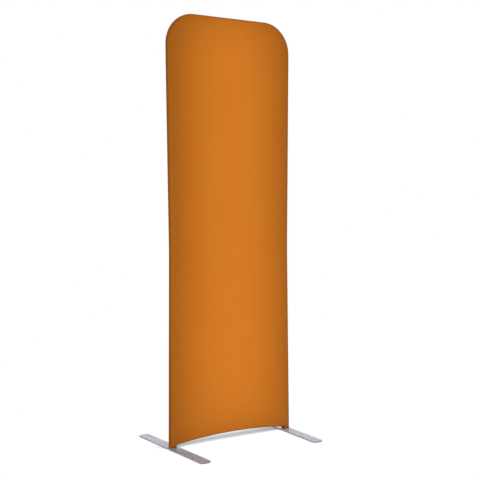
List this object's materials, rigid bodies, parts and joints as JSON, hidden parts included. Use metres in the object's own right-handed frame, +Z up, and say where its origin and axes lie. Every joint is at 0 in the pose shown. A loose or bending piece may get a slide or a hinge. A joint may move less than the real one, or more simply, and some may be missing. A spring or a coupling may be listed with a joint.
{
  "type": "fabric display wall",
  "caption": "Tall flat display wall: stretch cloth zipped over a bent tube frame with rounded top corners, standing on long flat foot plates that turn on pins.",
  "frame": {"origin": "on the floor, in the middle between the feet", "axes": "+X across the wall to the right seen from the front, the front faces -Y, +Z up"},
  "size_m": [0.8156, 0.6643, 2.3],
  "materials": {
    "cloth": "matt knitted stretch polyester",
    "zip_tape": "woven tape, dyed to match",
    "zip_chain": "nylon coil, dyed to match",
    "zip_metal": "satin nickel",
    "foot_silver": "satin silver powder coat",
    "foot_rubber": "matt",
    "small_steel": "zinc plated",
    "tube_aluminium": "satin anodised"
  },
  "bodies": {
    "frame": {"back_cloth": "cloth", "bottom_gusset": "cloth", "crossbar": "tube_aluminium", "front_cloth": "cloth", "left_corner_button_spring": "small_steel", "left_corner_spigot": "tube_aluminium", "left_crossbar_button_spring": "small_steel", "left_crossbar_stub": "tube_aluminium", "left_leg_cuff": "cloth", "left_mid_button_spring": "small_steel", "left_mid_spigot": "tube_aluminium", "left_post_lower": "tube_aluminium", "left_post_upper": "tube_aluminium", "left_top_bend": "tube_aluminium", "right_corner_button_spring": "small_steel", "right_corner_spigot": "tube_aluminium", "right_crossbar_button_spring": "small_steel", "right_crossbar_stub": "tube_aluminium", "right_leg_cuff": "cloth", "right_mid_button_spring": "small_steel", "right_mid_spigot": "tube_aluminium", "right_post_lower": "tube_aluminium", "right_post_upper": "tube_aluminium", "right_top_bend": "tube_aluminium", "spigot_pins": "small_steel", "stub_bolts": "small_steel", "stub_nuts": "small_steel", "top_centre_button_spring": "small_steel", "top_centre_spigot": "tube_aluminium", "zip_chain": "zip_chain", "zip_stops": "zip_metal", "zip_tapes": "zip_tape"},
    "left_foot": {"left_foot_plate": "foot_silver", "left_foot_pin": "small_steel", "left_foot_screw": "small_steel", "left_foot_pads": "foot_rubber"},
    "right_foot": {"right_foot_plate": "foot_silver", "right_foot_pin": "small_steel", "right_foot_screw": "small_steel", "right_foot_pads": "foot_rubber"},
    "zip_slider": {"zip_slider": "zip_metal"},
    "zip_pull": {"zip_pull": "zip_metal"},
    "left_mid_button": {"left_mid_button": "small_steel"},
    "left_corner_button": {"left_corner_button": "small_steel"},
    "left_crossbar_button": {"left_crossbar_button": "small_steel"},
    "right_mid_button": {"right_mid_button": "small_steel"},
    "right_corner_button": {"right_corner_button": "small_steel"},
    "right_crossbar_button": {"right_crossbar_button": "small_steel"},
    "top_centre_button": {"top_centre_button": "small_steel"}
  },
  "joints": [
    {"name": "left_foot_swivel", "type": "hinge", "parent": "frame", "child": "left_foot", "pos_m": [-0.373, 0, 0.01], "axis": [0, 0, 1], "continuous": true},
    {"name": "right_foot_swivel", "type": "hinge", "parent": "frame", "child": "right_foot", "pos_m": [0.373, 0, 0.01], "axis": [0, 0, 1], "continuous": true},
    {"name": "zip_slide", "type": "slide", "parent": "frame", "child": "zip_slider", "axis": [-1, 0, 0], "range_m": [0, 0.624], "deforming": ["zip_chain"]},
    {"name": "zip_pull_swing", "type": "hinge", "parent": "zip_slider", "child": "zip_pull", "pos_m": [0.312, 0.02, 0.1115], "axis": [0, 1, 0], "continuous": true},
    {"name": "left_mid_button_press", "type": "slide", "parent": "frame", "child": "left_mid_button", "axis": [-1, 0, 0], "range_m": [0, 0.0041], "stiffness_N_per_m": 300, "deforming": ["left_mid_button_spring"]},
    {"name": "left_corner_button_press", "type": "slide", "parent": "frame", "child": "left_corner_button", "axis": [-1, 0, 0], "range_m": [0, 0.0041], "stiffness_N_per_m": 300, "deforming": ["left_corner_button_spring"]},
    {"name": "left_crossbar_button_press", "type": "slide", "parent": "frame", "child": "left_crossbar_button", "axis": [0, 0, 1], "range_m": [0, 0.0041], "stiffness_N_per_m": 300, "deforming": ["left_crossbar_button_spring"]},
    {"name": "right_mid_button_press", "type": "slide", "parent": "frame", "child": "right_mid_button", "axis": [1, 0, 0], "range_m": [0, 0.0041], "stiffness_N_per_m": 300, "deforming": ["right_mid_button_spring"]},
    {"name": "right_corner_button_press", "type": "slide", "parent": "frame", "child": "right_corner_button", "axis": [1, 0, 0], "range_m": [0, 0.0041], "stiffness_N_per_m": 300, "deforming": ["right_corner_button_spring"]},
    {"name": "right_crossbar_button_press", "type": "slide", "parent": "frame", "child": "right_crossbar_button", "axis": [0, 0, 1], "range_m": [0, 0.0041], "stiffness_N_per_m": 300, "deforming": ["right_crossbar_button_spring"]},
    {"name": "top_centre_button_press", "type": "slide", "parent": "frame", "child": "top_centre_button", "axis": [0, 0, 1], "range_m": [0, 0.0041], "stiffness_N_per_m": 300, "deforming": ["top_centre_button_spring"]}
  ]
}
